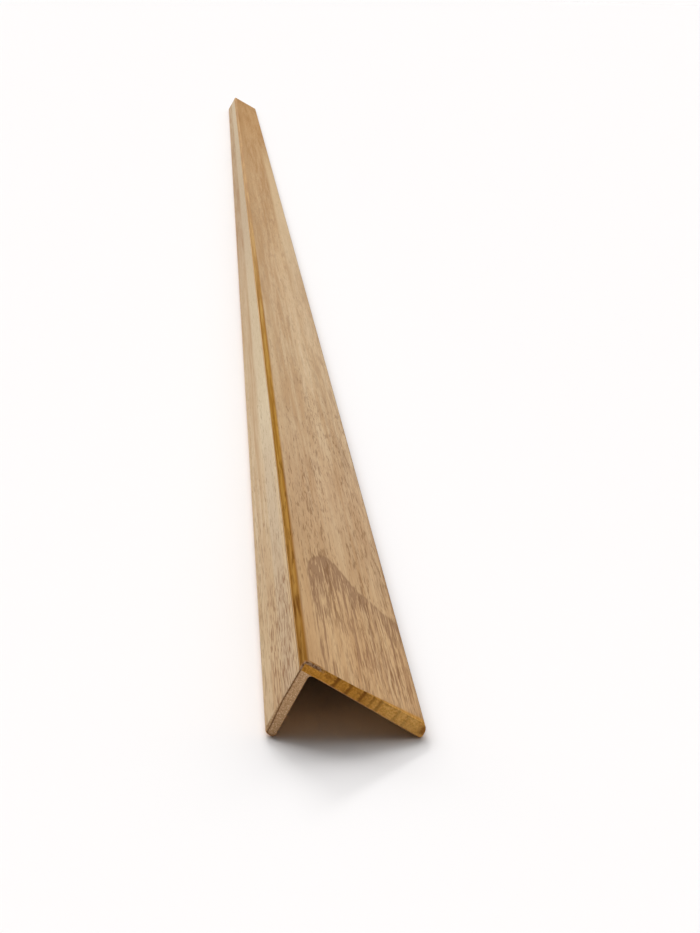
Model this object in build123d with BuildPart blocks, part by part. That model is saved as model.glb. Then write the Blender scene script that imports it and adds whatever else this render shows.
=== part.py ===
from build123d import *
import math
import os

# An angle moulding in one length: a wide leg laps over a narrow one and meets it square
# in a rounded ridge. It lies with the ridge up, and a tip of each leg rests on the ground.
# The long axis is Y, the near end faces -Y, the wide leg falls to +X, the narrow to -X.

# Driving sizes, in millimetres.
LENGTH = 2000.0            # end to end
WIDE_LEG = 25.0            # outer width of the leg on the +X side
NARROW_LEG = 15.0          # outer width of the leg on the -X side
CORNER_THICKNESS = 2.0     # both legs, where they meet
WIDE_TIP_THICKNESS = 2.8   # the wide leg grows thicker toward its tip
NARROW_TIP_THICKNESS = 2.3
RIDGE_RADIUS = 1.0         # outer corner, sanded round from end to end
THROAT_RADIUS = 0.8        # small fillet between the two glue faces
WIDE_NOSE_RADIUS = 1.5     # face side of the wide tip
NARROW_NOSE_RADIUS = 1.2   # face side of the narrow tip
HEEL_RADIUS = 0.7          # glue side of both tips, the two lines it rests on
END_ARRIS = 0.35           # sanded edge where the end grain meets the faces
JOINT_WIDTH = 0.24         # fine open line on the narrow face, under the lap of the wide leg
JOINT_DEPTH = 0.14

# The outline is worked out in leg coordinates: p runs out along the outer face of the
# wide leg, q along that of the narrow one, and both are 0 at the sharp outer corner.
WIDE_SLOPE = (WIDE_TIP_THICKNESS - CORNER_THICKNESS) / (WIDE_LEG - CORNER_THICKNESS)
NARROW_SLOPE = (NARROW_TIP_THICKNESS - CORNER_THICKNESS) / (NARROW_LEG - CORNER_THICKNESS)

RIDGE = (0.0, 0.0)
WIDE_NOSE = (WIDE_LEG, 0.0)
WIDE_HEEL = (WIDE_LEG, WIDE_TIP_THICKNESS)
THROAT = (CORNER_THICKNESS, CORNER_THICKNESS)
NARROW_HEEL = (NARROW_TIP_THICKNESS, NARROW_LEG)
NARROW_NOSE = (0.0, NARROW_LEG)


def heel_centre(leg, tip, slope):
    # Centre of the rounding between a tip and its glue face, as (along leg, across leg).
    along = leg - HEEL_RADIUS
    across = tip - HEEL_RADIUS * slope - HEEL_RADIUS * math.sqrt(1.0 + slope * slope)
    return along, across


WIDE_ALONG, WIDE_ACROSS = heel_centre(WIDE_LEG, WIDE_TIP_THICKNESS, WIDE_SLOPE)
NARROW_ALONG, NARROW_ACROSS = heel_centre(NARROW_LEG, NARROW_TIP_THICKNESS, NARROW_SLOPE)

# The tilt that sets both heels on the ground, measured at the wide leg.
TILT = math.atan2(NARROW_ALONG - WIDE_ACROSS, WIDE_ALONG - NARROW_ACROSS)
COS = math.cos(TILT)
SIN = math.sin(TILT)

# The outline is slid sideways until its two noses are as far from the middle.
RIDGE_HEIGHT = WIDE_ALONG * SIN + WIDE_ACROSS * COS + HEEL_RADIUS
RIGHT_REACH = (WIDE_LEG - WIDE_NOSE_RADIUS) * COS - WIDE_NOSE_RADIUS * SIN + WIDE_NOSE_RADIUS
LEFT_REACH = NARROW_NOSE_RADIUS * COS - (NARROW_LEG - NARROW_NOSE_RADIUS) * SIN
LEFT_REACH = LEFT_REACH - NARROW_NOSE_RADIUS
RIDGE_X = -(RIGHT_REACH + LEFT_REACH) / 2.0


def laid(point):
    # From leg coordinates to (X, Z) of the strip as it lies.
    p, q = point
    return (RIDGE_X + p * COS - q * SIN, RIDGE_HEIGHT - p * SIN - q * COS)


CORNERS = [RIDGE, WIDE_NOSE, WIDE_HEEL, THROAT, NARROW_HEEL, NARROW_NOSE]
JOINT_LINE = [
    (JOINT_DEPTH, CORNER_THICKNESS),
    (-JOINT_DEPTH, CORNER_THICKNESS - JOINT_WIDTH),
    (-JOINT_DEPTH, CORNER_THICKNESS + JOINT_WIDTH),
]
ROUNDINGS = [
    (RIDGE, RIDGE_RADIUS),
    (WIDE_NOSE, WIDE_NOSE_RADIUS),
    (WIDE_HEEL, HEEL_RADIUS),
    (THROAT, THROAT_RADIUS),
    (NARROW_HEEL, HEEL_RADIUS),
    (NARROW_NOSE, NARROW_NOSE_RADIUS),
]

with BuildPart() as angle_trim:
    # The profile stands at the far end and is drawn out toward the near end.
    with BuildSketch(Plane.XZ.offset(-LENGTH / 2.0)) as profile:
        with BuildLine() as outline:
            Polyline(*[laid(corner) for corner in CORNERS], close=True)
        make_face()
        for corner, radius in ROUNDINGS:
            x, z = laid(corner)
            fillet(profile.vertices().sort_by_distance(Vector(x, z, 0.0))[0], radius=radius)
    extrude(amount=LENGTH)

    # Both cut ends are eased all round, so the end grain has no sharp edge.
    fillet(angle_trim.faces().sort_by(Axis.Y)[0].edges(), radius=END_ARRIS)
    fillet(angle_trim.faces().sort_by(Axis.Y)[-1].edges(), radius=END_ARRIS)

    # The line where the wide leg laps over the narrow one runs as a shallow V.
    with BuildSketch(Plane.XZ.offset(-LENGTH / 2.0)) as joint:
        with BuildLine():
            Polyline(*[laid(corner) for corner in JOINT_LINE], close=True)
        make_face()
    extrude(amount=LENGTH, mode=Mode.SUBTRACT)

angle_trim.part.label = "angle_trim"

os.makedirs("parts", exist_ok=True)
export_step(angle_trim.part, "parts/angle_trim.step")
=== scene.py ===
import math
from types import SimpleNamespace

import bmesh
import bpy
from mathutils import Matrix, Vector


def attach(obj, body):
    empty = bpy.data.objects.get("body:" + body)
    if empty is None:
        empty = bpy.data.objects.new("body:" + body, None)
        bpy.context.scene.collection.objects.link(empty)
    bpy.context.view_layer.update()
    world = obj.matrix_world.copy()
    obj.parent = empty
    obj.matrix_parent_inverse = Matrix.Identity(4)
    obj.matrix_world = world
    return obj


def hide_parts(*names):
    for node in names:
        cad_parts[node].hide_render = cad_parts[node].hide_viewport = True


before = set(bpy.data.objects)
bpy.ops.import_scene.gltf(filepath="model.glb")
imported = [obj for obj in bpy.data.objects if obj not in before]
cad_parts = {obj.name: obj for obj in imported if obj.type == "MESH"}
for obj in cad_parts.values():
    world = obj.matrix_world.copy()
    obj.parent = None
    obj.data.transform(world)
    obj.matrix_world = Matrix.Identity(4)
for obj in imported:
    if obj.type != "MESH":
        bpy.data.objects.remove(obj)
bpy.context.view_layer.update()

MM_PER_METRE = 1000.0

# Sizes of the strip in millimetres, the same as in the part's source
LENGTH = 2000.0
WIDE_LEG = 25.0
NARROW_LEG = 15.0
CORNER_THICKNESS = 2.0
WIDE_TIP_THICKNESS = 2.8
NARROW_TIP_THICKNESS = 2.3
RIDGE_RADIUS = 1.0
THROAT_RADIUS = 0.8
WIDE_NOSE_RADIUS = 1.5
NARROW_NOSE_RADIUS = 1.2
HEEL_RADIUS = 0.7
END_ARRIS = 0.35
JOINT_WIDTH = 0.24
JOINT_DEPTH = 0.14

WIDE_SLOPE = (WIDE_TIP_THICKNESS - CORNER_THICKNESS) / (WIDE_LEG - CORNER_THICKNESS)
NARROW_SLOPE = (NARROW_TIP_THICKNESS - CORNER_THICKNESS) / (NARROW_LEG - CORNER_THICKNESS)

# The fine mesh: flats are cut no longer than this, the length into this many bays, and
# each rounding into this many steps.
LONGEST_FLAT = 1.6
BAYS = 60
ARC_STEPS = 8
ARRIS_STEPS = 4

# The colour map holds the strip in stretches side by side, given as distances from the
# near end, and the two cut ends in a row above them. It gives less room to the glue side,
# which is the part of the outline this far inside both outer faces.
STRETCHES = [(0.0, 400.0), (400.0, 1100.0), (1100.0, LENGTH)]
MAP_GAP = 0.006
MAP_TOP = 0.90
END_SPACING = 0.25
GLUE_SIDE_FROM = 0.75 * CORNER_THICKNESS
GLUE_SIDE_SHARE = 0.35


def heel_centre(leg, tip, slope):
    """Centre of the rounding between a tip and its glue face, as (along leg, across leg)."""
    along = leg - HEEL_RADIUS
    across = tip - HEEL_RADIUS * slope - HEEL_RADIUS * math.sqrt(1.0 + slope * slope)
    return along, across


WIDE_ALONG, WIDE_ACROSS = heel_centre(WIDE_LEG, WIDE_TIP_THICKNESS, WIDE_SLOPE)
NARROW_ALONG, NARROW_ACROSS = heel_centre(NARROW_LEG, NARROW_TIP_THICKNESS, NARROW_SLOPE)
TILT = math.atan2(NARROW_ALONG - WIDE_ACROSS, WIDE_ALONG - NARROW_ACROSS)
COS = math.cos(TILT)
SIN = math.sin(TILT)
RIDGE_HEIGHT = WIDE_ALONG * SIN + WIDE_ACROSS * COS + HEEL_RADIUS
RIGHT_REACH = (WIDE_LEG - WIDE_NOSE_RADIUS) * COS - WIDE_NOSE_RADIUS * SIN + WIDE_NOSE_RADIUS
LEFT_REACH = NARROW_NOSE_RADIUS * COS - (NARROW_LEG - NARROW_NOSE_RADIUS) * SIN
LEFT_REACH = LEFT_REACH - NARROW_NOSE_RADIUS
RIDGE_X = -(RIGHT_REACH + LEFT_REACH) / 2.0

# The outline in leg coordinates: p runs out along the outer face of the wide leg, q along
# that of the narrow one. The third number is the rounding of the corner.
CORNERS = [
    (0.0, 0.0, RIDGE_RADIUS),
    (WIDE_LEG, 0.0, WIDE_NOSE_RADIUS),
    (WIDE_LEG, WIDE_TIP_THICKNESS, HEEL_RADIUS),
    (CORNER_THICKNESS, CORNER_THICKNESS, THROAT_RADIUS),
    (NARROW_TIP_THICKNESS, NARROW_LEG, HEEL_RADIUS),
    (0.0, NARROW_LEG, NARROW_NOSE_RADIUS),
    (0.0, CORNER_THICKNESS + JOINT_WIDTH / 2.0, 0.0),
    (JOINT_DEPTH, CORNER_THICKNESS, 0.0),
    (0.0, CORNER_THICKNESS - JOINT_WIDTH / 2.0, 0.0),
]


def laid(p, q):
    """Leg coordinates to (x, z) of the strip as it lies, in millimetres."""
    return RIDGE_X + p * COS - q * SIN, RIDGE_HEIGHT - p * SIN - q * COS


def rounded(corners):
    """Points round a closed outline, each with the outward normal there."""
    walk = []
    for i, (x, y, radius) in enumerate(corners):
        here = Vector((x, y))
        back = (Vector(corners[i - 1][:2]) - here).normalized()
        ahead = (Vector(corners[(i + 1) % len(corners)][:2]) - here).normalized()
        if radius <= 0.0:
            sides = Vector((-back.y, back.x)) + Vector((ahead.y, -ahead.x))
            walk.append((here, sides.normalized()))
            continue
        half = math.acos(max(-1.0, min(1.0, back.dot(ahead)))) / 2.0
        centre = here + (back + ahead).normalized() * (radius / math.sin(half))
        start = here + back * (radius / math.tan(half)) - centre
        end = here + ahead * (radius / math.tan(half)) - centre
        first = math.atan2(start.y, start.x)
        turn = math.atan2(end.y, end.x) - first
        turn = (turn + math.pi) % (2.0 * math.pi) - math.pi
        for k in range(ARC_STEPS + 1):
            angle = first + turn * k / ARC_STEPS
            outward = Vector((math.cos(angle), math.sin(angle)))
            walk.append((centre + outward * radius, outward if turn > 0.0 else -outward))
    return walk


def subdivided(walk):
    """The same walk with extra points on the long flats."""
    out = []
    for i, (a, normal) in enumerate(walk):
        b = walk[(i + 1) % len(walk)][0]
        out.append((a, normal))
        cuts = int((b - a).length / LONGEST_FLAT)
        along = (b - a).normalized()
        for k in range(1, cuts + 1):
            out.append((a.lerp(b, k / (cuts + 1)), Vector((along.y, -along.x))))
    return out


def map_shares(walk):
    """How far across its stretch of the colour map each point of the walk lies, 0 to 1."""
    steps = []
    for i, (a, _) in enumerate(walk):
        b = walk[(i + 1) % len(walk)][0]
        middle = (a + b) / 2.0
        on_glue_side = min(middle.x, middle.y) > GLUE_SIDE_FROM
        steps.append((b - a).length * (GLUE_SIDE_SHARE if on_glue_side else 1.0))
    shares = [0.0]
    for step in steps:
        shares.append(shares[-1] + step / sum(steps))
    return shares


def map_length(walk):
    """Millimetres of outline that one stretch of the map is wide, as map_shares counts them."""
    shares = map_shares(walk)
    first = (walk[1][0] - walk[0][0]).length
    return first / (shares[1] - shares[0])


def strip_rows():
    """Stations from the near end to the far one, as (distance, inset of the outline)."""
    near = []
    for k in range(ARRIS_STEPS + 1):
        angle = math.radians(90.0) * (1.0 - k / ARRIS_STEPS)
        near.append((END_ARRIS * (1.0 - math.sin(angle)), END_ARRIS * (1.0 - math.cos(angle))))
    middle = [(LENGTH * k / BAYS, 0.0) for k in range(1, BAYS)]
    far = [(LENGTH - front, inset) for front, inset in reversed(near)]
    return near + middle + far


def strip_mesh():
    """The strip as one closed mesh, with eased ends and a map for its colours."""
    walk = subdivided(rounded(CORNERS))
    count = len(walk)
    shares = map_shares(walk)
    rows = strip_rows()
    bm = bmesh.new()
    colour_map = bm.loops.layers.uv.new("OFBake")
    rings = []
    index_of = {}
    front_of = {}
    for front, inset in rows:
        ring = []
        for k, (point, normal) in enumerate(walk):
            spot = point - normal * inset
            x, z = laid(spot.x, spot.y)
            place = (x, front - LENGTH / 2.0, z)
            vert = bm.verts.new([value / MM_PER_METRE for value in place])
            index_of[vert] = k
            front_of[vert] = front
            ring.append(vert)
        rings.append(ring)

    width = (1.0 - MAP_GAP * (len(STRETCHES) + 1)) / len(STRETCHES)
    for near_ring, far_ring in zip(rings, rings[1:]):
        middle = (front_of[near_ring[0]] + front_of[far_ring[0]]) / 2.0
        column = [i for i, (start, end) in enumerate(STRETCHES) if start <= middle < end][0]
        start, end = STRETCHES[column]
        left = MAP_GAP + column * (width + MAP_GAP)
        for k in range(count):
            after = (k + 1) % count
            face = bm.faces.new((near_ring[k], near_ring[after], far_ring[after], far_ring[k]))
            face.smooth = True
            for loop in face.loops:
                share = shares[k] if index_of[loop.vert] == k else shares[k + 1]
                climb = (front_of[loop.vert] - start) / (end - start)
                rise = MAP_GAP + climb * (MAP_TOP - 2.0 * MAP_GAP)
                loop[colour_map].uv = (left + share * width, rise)

    scale = width / map_length(walk)
    for k, ring in enumerate((rings[0], list(reversed(rings[-1])))):
        face = bm.faces.new(ring)
        left = MAP_GAP + k * END_SPACING
        for loop in face.loops:
            across = loop.vert.co.x * MM_PER_METRE + RIGHT_REACH
            up = loop.vert.co.z * MM_PER_METRE
            loop[colour_map].uv = (left + across * scale, MAP_TOP + up * scale)

    bmesh.ops.recalc_face_normals(bm, faces=bm.faces)
    mesh = bpy.data.meshes.new("angle_trim_fine")
    bm.to_mesh(mesh)
    bm.free()
    return mesh


class Nodes:
    """Makes shader nodes in one tree and joins them."""

    def __init__(self, tree):
        self.tree = tree
        self.tree.nodes.clear()

    def new(self, kind, **facts):
        node = self.tree.nodes.new(kind)
        for key, value in facts.items():
            setattr(node, key, value)
        return node

    def put(self, socket, value):
        """Gives a socket a plain value, or joins another node's output to it."""
        if isinstance(value, (int, float, tuple, list)):
            socket.default_value = value
        else:
            self.tree.links.new(value, socket)

    def math(self, how, a, b=0.0, c=0.0):
        node = self.new("ShaderNodeMath", operation=how)
        for socket, value in zip(node.inputs, (a, b, c)):
            self.put(socket, value)
        return node.outputs[0]

    def product(self, *values):
        out = values[0]
        for value in values[1:]:
            out = self.math("MULTIPLY", out, value)
        return out

    def step(self, value, low, high, out_low=0.0, out_high=1.0, smooth=True):
        """From out_low, where value is low, to out_high, where it is high, and level beyond."""
        kind = "SMOOTHSTEP" if smooth else "LINEAR"
        node = self.new("ShaderNodeMapRange", interpolation_type=kind, clamp=True)
        for socket, one in zip(node.inputs, (value, low, high, out_low, out_high)):
            self.put(socket, one)
        return node.outputs[0]

    def window(self, value, low, low_full, high_full, high):
        """1 between the two inner values, falling to 0 at the two outer ones."""
        return self.product(self.step(value, low, low_full), self.step(value, high, high_full))

    def mix(self, share, a, b, how="MIX"):
        node = self.new("ShaderNodeMix", data_type="RGBA", blend_type=how, clamp_factor=True)
        self.put(node.inputs[0], share)
        self.put(node.inputs[6], a)
        self.put(node.inputs[7], b)
        return node.outputs[2]

    def vector(self, x, y, z):
        node = self.new("ShaderNodeCombineXYZ")
        for socket, one in zip(node.inputs, (x, y, z)):
            self.put(socket, one)
        return node.outputs[0]

    def noise(self, vector, across, along, shift, detail=2.0, rough=0.5):
        """Noise that is coarse along the strip and fine across it, in waves per millimetre."""
        place = self.new("ShaderNodeVectorMath", operation="MULTIPLY_ADD")
        self.put(place.inputs[0], vector)
        place.inputs[1].default_value = (across, across, along)
        place.inputs[2].default_value = shift
        node = self.new("ShaderNodeTexNoise")
        self.put(node.inputs["Vector"], place.outputs[0])
        node.inputs["Scale"].default_value = 1.0
        node.inputs["Detail"].default_value = detail
        node.inputs["Roughness"].default_value = rough
        return node.outputs["Fac"]

    def tints(self, value, stops):
        """A tint along value, from stops of (place, (red, green, blue)), 1 being no change.
        The ramp holds nothing above 1, so it is given the tints divided by headroom."""
        headroom = 2.0
        node = self.new("ShaderNodeValToRGB")
        ramp = node.color_ramp
        while len(ramp.elements) < len(stops):
            ramp.elements.new(0.5)
        for element, (place, colour) in zip(ramp.elements, stops):
            element.position = place
            element.color = tuple(c / headroom for c in colour) + (1.0,)
        self.put(node.inputs[0], value)
        gain = self.new("ShaderNodeVectorMath", operation="SCALE")
        self.put(gain.inputs[0], node.outputs[0])
        gain.inputs[3].default_value = headroom
        return gain.outputs[0]

    def curve(self, value, points):
        """A smooth line through the points, read off at value."""
        node = self.new("ShaderNodeFloatCurve")
        line = node.mapping.curves[0]
        line.points[0].location = points[0]
        line.points[1].location = points[-1]
        for point in points[1:-1]:
            line.points.new(*point)
        node.mapping.update()
        self.put(node.inputs[1], value)
        return node.outputs[0]


def srgb(red, green, blue):
    """A colour as 0 to 255 on screen, in linear values."""
    shares = [v / 255.0 for v in (red, green, blue)]
    linear = [v / 12.92 if v <= 0.04045 else ((v + 0.055) / 1.055) ** 2.4 for v in shares]
    return tuple(linear) + (1.0,)


# Soft limits in millimetres, as (nothing here, full here)
FACE_DEPTH = (0.28, 0.10)
LEG_LIMIT = (-0.06, 0.06)
LAP_EDGE = (2.02, 2.12)
RIDGE_EDGE = (0.35, 1.20)


def spot_of(nodes):
    """Where a shaded point lies in the strip, in leg coordinates and along its length."""
    split = nodes.new("ShaderNodeSeparateXYZ")
    nodes.put(split.inputs[0], nodes.new("ShaderNodeTexCoord").outputs["Object"])
    mm_x = nodes.math("MULTIPLY_ADD", split.outputs[0], MM_PER_METRE, -RIDGE_X)
    mm_y = nodes.math("MULTIPLY", split.outputs[1], MM_PER_METRE)
    mm_z = nodes.math("MULTIPLY_ADD", split.outputs[2], MM_PER_METRE, -RIDGE_HEIGHT)
    at = SimpleNamespace()
    at.p = nodes.math("MULTIPLY_ADD", mm_z, -SIN, nodes.math("MULTIPLY", mm_x, COS))
    at.q = nodes.math("MULTIPLY_ADD", mm_z, -COS, nodes.math("MULTIPLY", mm_x, -SIN))
    at.front = nodes.math("ADD", mm_y, LENGTH / 2.0)
    at.along = nodes.math("DIVIDE", at.front, LENGTH)
    at.from_end = nodes.math("SUBTRACT", LENGTH / 2.0, nodes.math("ABSOLUTE", mm_y))
    at.flow = nodes.vector(at.p, at.q, mm_y)
    inner_face_at_0 = CORNER_THICKNESS * (1.0 - WIDE_SLOPE)
    inner_face = nodes.math("MULTIPLY_ADD", at.p, WIDE_SLOPE, inner_face_at_0)
    at.inside_by = nodes.math("SUBTRACT", inner_face, at.q)
    at.in_wide = nodes.step(at.inside_by, *LEG_LIMIT)
    # Far off, the wide face starts a little further from the ridge.
    from_ridge = nodes.math("SUBTRACT", at.p, nodes.step(at.front, 150.0, 500.0, 0.0, 0.25))
    from_ridge = nodes.step(from_ridge, *RIDGE_EDGE)
    at.on_wide_face = nodes.product(nodes.step(at.q, *FACE_DEPTH), from_ridge)
    at.on_narrow_face = nodes.product(nodes.step(at.p, *FACE_DEPTH), nodes.step(at.q, *LAP_EDGE))
    return at


def figure_of(nodes, at):
    """The patterns that every surface shares: tone, bands, fibres and pores."""
    grain = SimpleNamespace()
    grain.drift = nodes.noise(at.flow, 0.18, 0.0045, (3.1, 7.7, 1.3), 3.0)
    grain.bands = nodes.noise(at.flow, 0.80, 0.012, (1.7, 2.9, 5.1), 3.0, 0.55)
    grain.fibre = nodes.noise(at.flow, 3.2, 0.055, (9.0, 4.0, 2.0), 3.0, 0.6)
    grain.hair = nodes.noise(at.flow, 7.0, 0.16, (2.0, 8.0, 6.0), 2.0, 0.5)
    grain.clouds = nodes.noise(at.flow, 0.60, 0.035, (6.6, 1.2, 8.4), 2.0, 0.5)
    grain.streak = nodes.noise(at.flow, 1.75, 0.036, (6.3, 2.2, 4.4), 3.0, 0.62)
    grain.dash = nodes.noise(at.flow, 2.3, 0.085, (2.8, 9.1, 0.6), 2.0, 0.55)
    # Pores crowd in some places, and more of them show near the front.
    crowd = nodes.noise(at.flow, 0.32, 0.010, (4.5, 3.5, 7.5), 2.0)
    near = nodes.step(at.front, 430.0, 60.0, -0.02, 0.030)
    more = nodes.math("MULTIPLY_ADD", crowd, 0.36, near)
    pore = nodes.noise(at.flow, 2.9, 0.13, (5.5, 1.5, 9.5), 1.0, 0.4)
    fine_pore = nodes.noise(at.flow, 4.6, 0.22, (1.5, 6.5, 3.5), 1.0, 0.4)
    pore = nodes.step(nodes.math("ADD", pore, more), 0.81, 0.90)
    fine_pore = nodes.step(nodes.math("ADD", fine_pore, more), 0.82, 0.92)
    pores = nodes.math("MAXIMUM", pore, nodes.math("MULTIPLY", fine_pore, 0.7))
    grain.pores = nodes.product(pores, nodes.step(at.front, 420.0, 190.0, 0.40, 1.0))
    return grain


# The flame on the wide face: how high its edge stands from the near end, as a share of
# FLAME_HEIGHT, over p as a share of the wide leg.
FLAME_HEIGHT = 97.0
FLAME = [
    (0.0, 0.50), (0.13, 0.70), (0.17, 0.79), (0.24, 0.86), (0.34, 0.905), (0.45, 0.865),
    (0.60, 0.755), (0.78, 0.69), (1.0, 0.62),
]
FLAME_RAGGED = 8.0


def flame_of(nodes, at, grain):
    """A dark arch of late wood near the front that frays downward into long strokes."""
    ragged = nodes.noise(at.flow, 1.3, 0.02, (0.5, 1.9, 3.3), 3.0, 0.6)
    ragged = nodes.math("MULTIPLY_ADD", ragged, FLAME_RAGGED, -FLAME_RAGGED / 2.0)
    height = nodes.curve(nodes.math("DIVIDE", at.p, WIDE_LEG), FLAME)
    crest = nodes.math("MULTIPLY_ADD", height, FLAME_HEIGHT, ragged)
    below = nodes.math("SUBTRACT", crest, at.front)
    flank = nodes.step(nodes.math("MULTIPLY_ADD", grain.streak, 1.4, at.p), 3.65, 4.35)
    fray = nodes.math(
        "ADD",
        nodes.step(below, 0.0, 24.0, 0.28, 0.485, smooth=False),
        nodes.step(below, 24.0, 62.0, 0.0, 0.14, smooth=False),
    )
    fray = nodes.math("ADD", fray, nodes.step(at.p, 12.0, 19.0, 0.0, 0.10))
    denser = nodes.window(at.p, 3.0, 3.8, 5.4, 7.2)
    denser = nodes.math("MULTIPLY_ADD", denser, 0.07, grain.streak)
    strokes = nodes.step(nodes.math("SUBTRACT", denser, fray), -0.05, 0.06)
    gleams = nodes.step(grain.dash, 0.54, 0.62)
    gleams = nodes.product(gleams, nodes.step(below, 0.5, 7.0, 0.10, 0.85))
    solid = nodes.product(nodes.step(below, -1.0, 1.5), flank, strokes)
    return nodes.product(solid, nodes.math("SUBTRACT", 1.0, gleams))


# Where marks lie, in millimetres, as (nothing, full, full, nothing). A band is counted
# across a face from the ridge, a stretch along the strip from the near end.
SPOT_STRETCH = (90.0, 200.0, 700.0, 1300.0)
PALE_STRETCH = (400.0, 820.0, 1250.0, 1500.0)
TAIL_BAND = (10.5, 13.5, 20.0, 23.0)
TAIL_STRETCH = (6.0, 16.0, 48.0, 60.0)
CREAM_BAND = (2.0, 3.0, 7.0, 8.6)
GREY_BAND = (2.4, 4.0, 6.4, 8.0)
STROKE_BAND = (2.0, 3.0, 10.0, 12.0)
BLOTCH_STRETCH = (25.0, 36.0, 37.0, 49.0)

# The paler wood near the wide tip: where it starts, and how far it drifts over the length
PALE_FROM = 15.6
PALE_SLANT = 0.0022

# Tints along the strip, from the near end at 0 to the far one at 1. Each multiplies the
# red, green and blue of the wood there.
WIDE_TINTS = [
    (0.0, (1.12, 1.19, 1.23)), (0.02, (1.01, 1.10, 1.16)), (0.05, (0.95, 1.05, 1.17)),
    (0.08, (1.01, 1.15, 1.35)), (0.11, (1.07, 1.27, 1.54)), (0.17, (1.09, 1.32, 1.62)),
    (0.25, (1.08, 1.28, 1.55)), (0.38, (1.02, 1.15, 1.29)), (0.55, (0.98, 1.06, 1.12)),
    (0.80, (0.92, 0.93, 0.88)),
]
NARROW_TINTS = [
    (0.0, (1.02, 1.03, 1.07)), (0.02, (0.98, 1.03, 1.09)), (0.045, (1.00, 1.07, 1.17)),
    (0.08, (1.05, 1.15, 1.30)), (0.165, (0.96, 1.01, 1.11)), (0.25, (0.93, 0.97, 1.07)),
    (0.38, (0.84, 0.85, 0.94)), (0.55, (0.86, 0.89, 0.99)), (0.80, (0.90, 0.95, 1.08)),
]
AMBER_TINTS = [
    (0.0, (0.75, 0.79, 0.86)), (0.045, (0.774, 0.81, 0.88)), (0.09, (0.845, 0.91, 0.82)),
    (0.22, (0.97, 1.12, 1.45)), (0.45, (1.05, 1.20, 1.70)), (1.0, (1.06, 1.22, 1.85)),
]


def wide_face(nodes, at, grain):
    """Brown wood with a flame near the front, a pale band far off and pores all over."""
    tone = nodes.step(grain.drift, 0.36, 0.66)
    colour = nodes.mix(tone, srgb(198, 158, 116), srgb(181, 138, 96))
    bands = nodes.step(grain.bands, 0.38, 0.66, 0.0, 0.46)
    colour = nodes.mix(bands, colour, srgb(206, 172, 132))
    beside_ridge = nodes.step(at.p, 6.5, 4.0, 0.0, 0.34)
    colour = nodes.mix(beside_ridge, colour, srgb(172, 130, 88))
    spots = nodes.step(grain.clouds, 0.53, 0.66, 0.0, 0.34)
    spots = nodes.product(spots, nodes.window(at.front, *SPOT_STRETCH))
    colour = nodes.mix(spots, colour, srgb(158, 120, 86))

    # Fibres and pores are weaker in a calm corner beside the ridge at the near end.
    calm = nodes.product(nodes.step(at.front, 45.0, 25.0), nodes.step(at.p, 13.0, 8.0))
    fibres = nodes.math("MULTIPLY_ADD", calm, -0.22, 0.46)
    fibres = nodes.product(nodes.step(grain.fibre, 0.42, 0.74), fibres)
    colour = nodes.mix(fibres, colour, srgb(158, 118, 82))
    hairs = nodes.step(grain.hair, 0.45, 0.75, 0.0, 0.22)
    colour = nodes.mix(hairs, colour, srgb(150, 110, 76))

    tip_bands = nodes.product(nodes.step(at.p, 16.0, 22.5), nodes.step(grain.streak, 0.44, 0.60))
    tip_bands = nodes.product(tip_bands, nodes.step(at.front, 900.0, 300.0), 0.34)
    colour = nodes.mix(tip_bands, colour, srgb(150, 110, 78))
    pale = nodes.math("MULTIPLY_ADD", at.front, -PALE_SLANT, at.p)
    pale = nodes.step(pale, PALE_FROM - 1.2, PALE_FROM + 1.5)
    pale = nodes.product(pale, nodes.window(at.front, *PALE_STRETCH), 0.52)
    colour = nodes.mix(pale, colour, srgb(214, 184, 146))

    strokes = nodes.product(nodes.step(grain.dash, 0.51, 0.60), nodes.step(at.front, 72.0, 45.0))
    strokes = nodes.product(strokes, nodes.step(at.p, 7.0, 14.0, 0.12, 0.44))
    colour = nodes.mix(strokes, colour, srgb(146, 106, 76))
    tails = nodes.step(grain.dash, 0.40, 0.52, 0.25, 1.0)
    tails = nodes.product(nodes.step(grain.streak, 0.49, 0.56), tails)
    tails = nodes.product(tails, nodes.window(at.p, *TAIL_BAND))
    tails = nodes.product(tails, nodes.window(at.front, *TAIL_STRETCH), 0.62)
    colour = nodes.mix(tails, colour, srgb(142, 103, 74))
    flame = nodes.math("MULTIPLY", flame_of(nodes, at, grain), 0.82)
    colour = nodes.mix(flame, colour, srgb(144, 107, 78))
    pores = nodes.product(grain.pores, nodes.math("MULTIPLY_ADD", calm, -0.26, 0.52))
    colour = nodes.mix(pores, colour, srgb(122, 84, 54))
    return nodes.mix(1.0, colour, nodes.tints(at.along, WIDE_TINTS), "MULTIPLY")


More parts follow.
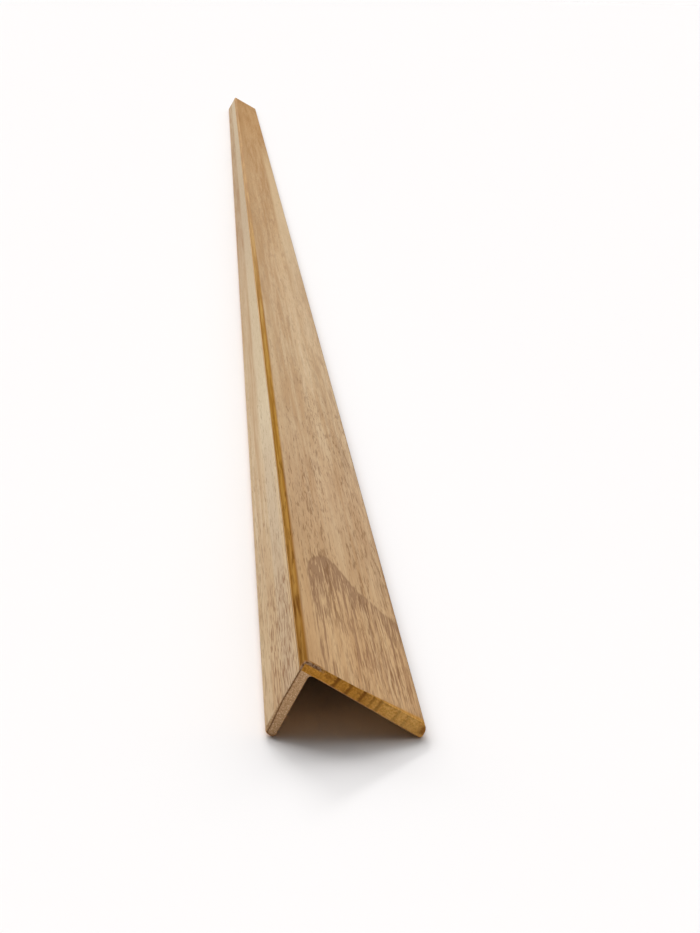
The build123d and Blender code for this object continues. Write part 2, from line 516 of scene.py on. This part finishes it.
def narrow_face(nodes, at, grain):
    """Paler wood: a cream band beside the ridge gives way to greyer, streaky wood in front."""
    tone = nodes.step(grain.drift, 0.36, 0.66)
    colour = nodes.mix(tone, srgb(202, 172, 134), srgb(190, 156, 118))
    bands = nodes.step(grain.bands, 0.38, 0.66, 0.0, 0.6)
    colour = nodes.mix(bands, colour, srgb(210, 186, 150))
    cream = nodes.product(nodes.window(at.q, *CREAM_BAND), nodes.step(at.front, 150.0, 260.0))
    colour = nodes.mix(nodes.math("MULTIPLY", cream, 0.85), colour, srgb(214, 192, 156))
    grey = nodes.step(at.front, 300.0, 150.0, 0.0, 0.40)
    grey = nodes.product(nodes.window(at.q, *GREY_BAND), grey)
    colour = nodes.mix(grey, colour, srgb(186, 162, 136))
    fibres = nodes.step(grain.fibre, 0.46, 0.76, 0.0, 0.42)
    colour = nodes.mix(fibres, colour, srgb(170, 134, 100))
    strokes = nodes.noise(at.flow, 3.4, 0.13, (8.8, 5.1, 1.9), 1.0, 0.4)
    strokes = nodes.product(nodes.step(strokes, 0.52, 0.61), nodes.step(at.front, 88.0, 62.0))
    strokes = nodes.product(strokes, nodes.window(at.q, *STROKE_BAND), 0.70)
    colour = nodes.mix(strokes, colour, srgb(142, 102, 72))
    colour = nodes.mix(nodes.math("MULTIPLY", grain.pores, 0.40), colour, srgb(134, 98, 68))
    return nodes.mix(1.0, colour, nodes.tints(at.along, NARROW_TINTS), "MULTIPLY")


def amber_wood(nodes, at, grain):
    """Core wood of the wide leg, seen along the ridge and round its tip."""
    tone = nodes.noise(at.flow, 0.9, 0.012, (8.1, 3.3, 2.7), 3.0)
    tone = nodes.step(tone, 0.38, 0.62)
    colour = nodes.mix(tone, srgb(184, 134, 64), srgb(158, 106, 42))
    fibres = nodes.step(grain.fibre, 0.45, 0.75, 0.0, 0.5)
    colour = nodes.mix(fibres, colour, srgb(120, 74, 28))
    spots = nodes.step(at.front, 330.0, 120.0, 0.10, 0.55)
    spots = nodes.product(nodes.step(grain.dash, 0.54, 0.64), spots)
    colour = nodes.mix(spots, colour, srgb(106, 62, 20))
    blotch = nodes.window(at.front, *BLOTCH_STRETCH)
    blotch = nodes.product(blotch, nodes.step(grain.streak, 0.34, 0.52), 0.80)
    colour = nodes.mix(blotch, colour, srgb(104, 56, 18))
    paler = nodes.step(at.front, 300.0, 900.0, 0.0, 0.35)
    colour = nodes.mix(paler, colour, srgb(201, 165, 120))
    return nodes.mix(1.0, colour, nodes.tints(at.along, AMBER_TINTS), "MULTIPLY")


# Dark growth lines that cross the end of the wide leg: place, half width and strength.
# Noise moves them out by LINE_WANDER on the whole.
GROWTH_LINES = [
    (6.7, 0.42, 1.0), (9.3, 0.34, 0.85), (12.0, 0.36, 1.0), (13.9, 0.26, 0.55),
    (15.4, 0.34, 0.60), (19.0, 0.36, 0.35), (20.9, 0.30, 0.30),
]
LINE_WANDER = 0.5


def wide_end(nodes, at):
    """The cut end of the wide leg: amber, crossed by growth lines, with painted shade at its
    rounded nose.
    """
    speck = nodes.noise(at.flow, 2.2, 0.3, (7.0, 5.0, 3.0), 3.0, 0.65)
    lean = nodes.math("MULTIPLY_ADD", at.q, 0.16, nodes.math("MULTIPLY_ADD", speck, 0.7, at.p))
    lines = 0.0
    for place, half_width, strength in GROWTH_LINES:
        away = nodes.math("ABSOLUTE", nodes.math("SUBTRACT", lean, place + LINE_WANDER))
        line = nodes.step(away, half_width * 1.5, 0.05, 0.0, strength)
        lines = nodes.math("MAXIMUM", lines, line)
    tone = nodes.step(speck, 0.35, 0.65)
    colour = nodes.mix(tone, srgb(208, 150, 66), srgb(177, 120, 44))
    brighter = nodes.mix(tone, srgb(237, 186, 107), srgb(209, 153, 75))
    colour = nodes.mix(nodes.step(at.p, 9.0, 21.0), colour, brighter)
    blots = nodes.noise(at.flow, 0.9, 0.3, (3.0, 6.0, 1.0), 3.0, 0.6)
    blots = nodes.step(blots, 0.50, 0.66, 0.0, 0.55)
    blots = nodes.product(blots, nodes.step(at.p, 17.0, 11.0))
    colour = nodes.mix(blots, colour, srgb(140, 88, 32))
    colour = nodes.mix(nodes.math("MULTIPLY", lines, 0.82), colour, srgb(112, 66, 22))
    # Painted shade: the end is darkened at the nose, standing in for the shade on the tip's
    # rounding.
    nose_shade = nodes.product(nodes.step(at.p, 23.3, 24.4), nodes.window(at.q, 0.1, 0.7, 1.7, 2.3))
    colour = nodes.mix(nodes.math("MULTIPLY", nose_shade, 0.75), colour, srgb(132, 76, 26))
    backing = nodes.product(nodes.step(at.inside_by, 0.30, 0.12), nodes.step(at.p, 2.6, 5.0))
    return nodes.mix(nodes.math("MULTIPLY", backing, 0.75), colour, srgb(176, 134, 98))


def narrow_end(nodes, at):
    """The cut end of the narrow leg: pinkish, with pale specks and a line under the face."""
    speck = nodes.noise(at.flow, 2.6, 0.3, (7.0, 5.0, 3.0), 3.0, 0.65)
    tone = nodes.step(speck, 0.38, 0.62)
    colour = nodes.mix(tone, srgb(208, 171, 131), srgb(184, 143, 103))
    pale = nodes.noise(at.flow, 4.2, 0.4, (2.0, 2.0, 2.0), 1.0, 0.6)
    pale = nodes.step(pale, 0.58, 0.66, 0.0, 0.75)
    colour = nodes.mix(pale, colour, srgb(242, 216, 178))
    depth = nodes.step(at.q, 7.0, 15.0, 0.02, 0.50)
    depth = nodes.math("MULTIPLY_ADD", speck, 0.30, depth)
    line = nodes.step(nodes.math("ABSOLUTE", nodes.math("SUBTRACT", at.p, depth)), 0.22, 0.04)
    colour = nodes.mix(nodes.math("MULTIPLY", line, 0.85), colour, srgb(118, 82, 54))
    return nodes.mix(nodes.step(at.q, 14.2, 14.8, 0.0, 0.6), colour, srgb(112, 78, 50))


def apex_patch(nodes, at):
    """Greyish wood with dark pores round the ridge at the cut ends."""
    speck = nodes.noise(at.flow, 1.6, 0.3, (4.0, 1.0, 6.0), 2.0, 0.6)
    return nodes.mix(nodes.step(speck, 0.44, 0.60), srgb(166, 134, 104), srgb(122, 88, 60))


def glue_side(nodes, grain):
    """Plain planed wood on the hidden faces of both legs."""
    bands = nodes.step(grain.bands, 0.4, 0.62)
    colour = nodes.mix(bands, srgb(232, 186, 128), srgb(214, 166, 108))
    fibres = nodes.step(grain.fibre, 0.45, 0.75, 0.0, 0.4)
    return nodes.mix(fibres, colour, srgb(170, 126, 80))


def lap_line(nodes, at):
    """The fine dark line on the narrow face, under the lap of the wide leg."""
    away = nodes.math("ABSOLUTE", nodes.math("SUBTRACT", at.q, CORNER_THICKNESS + 0.02))
    line = nodes.product(nodes.step(away, 0.16, 0.05), nodes.step(at.p, 0.5, 0.3))
    return nodes.product(line, nodes.step(at.front, 60.0, 480.0, 0.66, 0.0))


def cut_end(nodes, at):
    """The colour of a cut end, and how much of it shows at a shaded point."""
    colour = nodes.mix(at.in_wide, narrow_end(nodes, at), wide_end(nodes, at))
    patch = nodes.product(nodes.step(at.q, 0.70, 0.40), nodes.step(at.p, 4.4, 2.8))
    beside = nodes.product(nodes.step(at.p, 0.42, 0.20), nodes.step(at.q, 2.6, 1.8))
    patch = nodes.math("MAXIMUM", patch, beside)
    colour = nodes.mix(patch, colour, apex_patch(nodes, at))
    # The end colours are painted lighter to make up for the dim light on the cut ends. Where
    # they reach over the arris onto the better-lit face, they are darkened again to take that
    # painted light back off.
    dimmed_on_lit_face = nodes.step(at.from_end, 0.25, 0.60, 0.0, 0.55)
    colour = nodes.mix(dimmed_on_lit_face, colour, srgb(160, 108, 48))

    # The end colour runs over the edge a little, further toward the wide tip.
    reach = nodes.step(at.p, 11.0, 24.0, 0.32, 2.6, smooth=False)
    share = nodes.step(nodes.math("DIVIDE", at.from_end, reach), 1.35, 0.45)
    share = nodes.product(at.in_wide, share)
    share = nodes.math("MAXIMUM", share, nodes.step(at.from_end, 0.24, 0.10))
    on_ridge = nodes.product(patch, nodes.step(at.from_end, 1.7, 0.8))
    return colour, nodes.math("MAXIMUM", share, on_ridge)


# Bare wood: no gloss, and a faint relief of fibres and pores, its depth in metres
ROUGHNESS = (0.62, 0.74)
GLOSS = 0.0
WOOD_IOR = 1.45
RELIEF_STRENGTH = 0.35
RELIEF_DEPTH = 0.00012


def trim_wood():
    """The wood of the strip: both faces, the glue side, the amber core and the cut ends."""
    material = bpy.data.materials.new("trim_wood")
    material.use_nodes = True
    nodes = Nodes(material.node_tree)
    at = spot_of(nodes)
    grain = figure_of(nodes, at)

    in_amber = nodes.product(at.in_wide, nodes.step(at.inside_by, 0.10, 0.30))
    colour = nodes.mix(in_amber, glue_side(nodes, grain), amber_wood(nodes, at, grain))
    colour = nodes.mix(at.on_wide_face, colour, wide_face(nodes, at, grain))
    colour = nodes.mix(at.on_narrow_face, colour, narrow_face(nodes, at, grain))
    colour = nodes.mix(lap_line(nodes, at), colour, srgb(96, 62, 30))
    end_colour, end_share = cut_end(nodes, at)
    colour = nodes.mix(end_share, colour, end_colour)

    shader = nodes.new("ShaderNodeBsdfPrincipled")
    nodes.put(shader.inputs["Base Color"], colour)
    nodes.put(shader.inputs["Roughness"], nodes.step(grain.fibre, 0.3, 0.7, *ROUGHNESS))
    shader.inputs["IOR"].default_value = WOOD_IOR
    shader.inputs["Specular IOR Level"].default_value = GLOSS
    relief = nodes.math("MULTIPLY", grain.fibre, 0.35)
    relief = nodes.math("SUBTRACT", relief, nodes.math("MULTIPLY", grain.pores, 0.8))
    bump = nodes.new("ShaderNodeBump")
    bump.inputs["Strength"].default_value = RELIEF_STRENGTH
    bump.inputs["Distance"].default_value = RELIEF_DEPTH
    nodes.put(bump.inputs["Height"], relief)
    nodes.put(shader.inputs["Normal"], bump.outputs[0])
    nodes.put(nodes.new("ShaderNodeOutputMaterial").inputs[0], shader.outputs[0])
    return material


# The floor reaches this far each way, in metres.
FLOOR_COLOUR = (0.860, 0.851, 0.857, 1.0)
FLOOR_REACH = 60.0


def floor_white():
    material = bpy.data.materials.new("floor_white")
    material.use_nodes = True
    nodes = Nodes(material.node_tree)
    shader = nodes.new("ShaderNodeBsdfDiffuse")
    shader.inputs[0].default_value = FLOOR_COLOUR
    nodes.put(nodes.new("ShaderNodeOutputMaterial").inputs[0], shader.outputs[0])
    return material


def add_floor():
    mesh = bpy.data.meshes.new("floor")
    signs = [(-1, -1), (1, -1), (1, 1), (-1, 1)]
    corners = [(x * FLOOR_REACH, y * FLOOR_REACH, 0.0) for x, y in signs]
    mesh.from_pydata(corners, [], [(0, 1, 2, 3)])
    mesh.materials.append(floor_white())
    floor = bpy.data.objects.new("floor", mesh)
    bpy.context.collection.objects.link(floor)


# The light comes from the sky round the strip. Bearings and heights are in degrees, and a
# bearing is counted from +Y toward +X. Strengths are multiples of white, before SKY_GAIN.
SKY_GAIN = 0.775
SKY_COLOUR = (1.0, 0.990, 0.980, 1.0)
CARD_COLOUR = (1.0, 0.90, 0.80, 1.0)
BACKDROP_COLOUR = (1.0, 0.985, 0.978, 1.0)

SCREEN_TURN = 8.0
SCREEN_SIDES = (46.0, 34.0)
SCREEN_BOTTOM = (11.5, 13.5)
SCREEN_MIDDLE = (28.0, 20.0)
SCREEN_STRENGTHS = (8.0, 7.0)
SCREEN_TOP = (50.0, 42.0)
ABOVE_SCREEN = 0.11

LAMP_TURN = 5.0
LAMP_SIDES = (8.0, 5.5)
LAMP_SLANT = 0.53
LAMP_HEIGHT = 21.6
LAMP_EDGES = (-2.2, -1.4, 1.6, 2.6)
LAMP_STRENGTH = 108.0

RIGHT_FILL = 1.0
LEFT_FILL = 0.48
FRONT_SHARE = 0.09
TOP_FILL = 0.3
CARD_STRENGTH = 4.0


def sky_light(nodes):
    """How strong the sky shines each way: the cool light all round, and the warm card."""
    split = nodes.new("ShaderNodeSeparateXYZ")
    nodes.put(split.inputs[0], nodes.new("ShaderNodeTexCoord").outputs["Generated"])
    x, y, z = split.outputs
    level = nodes.math("SQRT", nodes.math("SUBTRACT", 1.0, nodes.math("MULTIPLY", z, z)))
    height = nodes.math("MULTIPLY", nodes.math("ARCTAN2", z, level), math.degrees(1.0))
    bearing = nodes.math("MULTIPLY", nodes.math("ARCTAN2", x, y), math.degrees(1.0))

    off_middle = nodes.math("ABSOLUTE", nodes.math("ADD", bearing, SCREEN_TURN))
    behind = nodes.step(off_middle, *SCREEN_SIDES)
    screen = nodes.step(height, *SCREEN_BOTTOM)
    screen = nodes.product(screen, nodes.step(height, *SCREEN_MIDDLE, *SCREEN_STRENGTHS))
    screen = nodes.product(screen, nodes.step(height, *SCREEN_TOP, ABOVE_SCREEN, 1.0))

    aside = nodes.math("ADD", bearing, LAMP_TURN)
    above = nodes.math("MULTIPLY_ADD", aside, LAMP_SLANT, height)
    lamp = nodes.step(nodes.math("ABSOLUTE", aside), *LAMP_SIDES)
    edges = nodes.window(above, *[LAMP_HEIGHT + edge for edge in LAMP_EDGES])
    lamp = nodes.product(lamp, edges, LAMP_STRENGTH)

    side = nodes.step(x, 0.2, -0.6, RIGHT_FILL, LEFT_FILL)
    side = nodes.product(side, nodes.step(y, -0.20, 0.45, FRONT_SHARE, 1.0))
    top = nodes.step(height, 66.0, 78.0, 0.0, TOP_FILL)
    fill = nodes.product(nodes.math("ADD", side, top), nodes.step(height, 6.0, 14.0))
    cool = nodes.math("ADD", nodes.math("MULTIPLY_ADD", behind, screen, fill), lamp)

    card = nodes.product(nodes.step(y, -0.45, -0.65), nodes.step(height, 7.5, 4.5))
    card = nodes.product(card, nodes.step(height, -1.0, 0.0))
    return cool, card


def add_light():
    """A soft screen and a bright lamp low behind the far end, fill from the sides and the
    top, stronger on the right, and a warm card low in front. The camera sees only white."""
    world = bpy.data.worlds.new("studio")
    world.use_nodes = True
    bpy.context.scene.world = world
    nodes = Nodes(world.node_tree)
    cool, card = sky_light(nodes)
    sky = nodes.new("ShaderNodeBackground")
    sky.inputs[0].default_value = SKY_COLOUR
    nodes.put(sky.inputs[1], nodes.math("MULTIPLY", cool, SKY_GAIN))
    warm = nodes.new("ShaderNodeBackground")
    warm.inputs[0].default_value = CARD_COLOUR
    nodes.put(warm.inputs[1], nodes.math("MULTIPLY", card, CARD_STRENGTH * SKY_GAIN))
    both = nodes.new("ShaderNodeAddShader")
    nodes.put(both.inputs[0], sky.outputs[0])
    nodes.put(both.inputs[1], warm.outputs[0])

    seen = nodes.new("ShaderNodeBackground")
    seen.inputs[0].default_value = BACKDROP_COLOUR
    pick = nodes.new("ShaderNodeMixShader")
    nodes.put(pick.inputs[0], nodes.new("ShaderNodeLightPath").outputs["Is Camera Ray"])
    nodes.put(pick.inputs[1], both.outputs[0])
    nodes.put(pick.inputs[2], seen.outputs[0])
    nodes.put(nodes.new("ShaderNodeOutputWorld").inputs[0], pick.outputs[0])


# The camera: where it stands in metres, and how it is turned, in radians
CAMERA_AT = (-0.0236668, -1.3677200, 0.1279221)
CAMERA_PITCH = 0.212157
CAMERA_YAW = 0.062732
CAMERA_ROLL = -0.028242
SENSOR_WIDTH = 36.0
FOCAL_LENGTH = 85.27


def add_camera():
    data = bpy.data.cameras.new("camera")
    data.lens = FOCAL_LENGTH
    data.sensor_width = SENSOR_WIDTH
    data.clip_start = 0.01
    data.clip_end = 200.0
    camera = bpy.data.objects.new("camera", data)
    bpy.context.collection.objects.link(camera)
    flat = Vector((math.sin(CAMERA_YAW), math.cos(CAMERA_YAW), 0.0))
    ahead = flat * math.cos(CAMERA_PITCH) - Vector((0.0, 0.0, math.sin(CAMERA_PITCH)))
    level = Vector((math.cos(CAMERA_YAW), -math.sin(CAMERA_YAW), 0.0))
    plumb = ahead.cross(level)
    right = level * math.cos(CAMERA_ROLL) + plumb * math.sin(CAMERA_ROLL)
    down = plumb * math.cos(CAMERA_ROLL) - level * math.sin(CAMERA_ROLL)
    turn = Matrix((right, -down, -ahead)).transposed().to_4x4()
    camera.matrix_world = Matrix.Translation(CAMERA_AT) @ turn
    bpy.context.scene.camera = camera


strip_data = strip_mesh()
strip_data.materials.append(trim_wood())
strip = bpy.data.objects.new("angle_trim_fine", strip_data)
bpy.context.collection.objects.link(strip)
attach(strip, "root")
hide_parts("angle_trim")

add_floor()
add_light()
add_camera()
bpy.context.scene.view_settings.view_transform = "Standard"
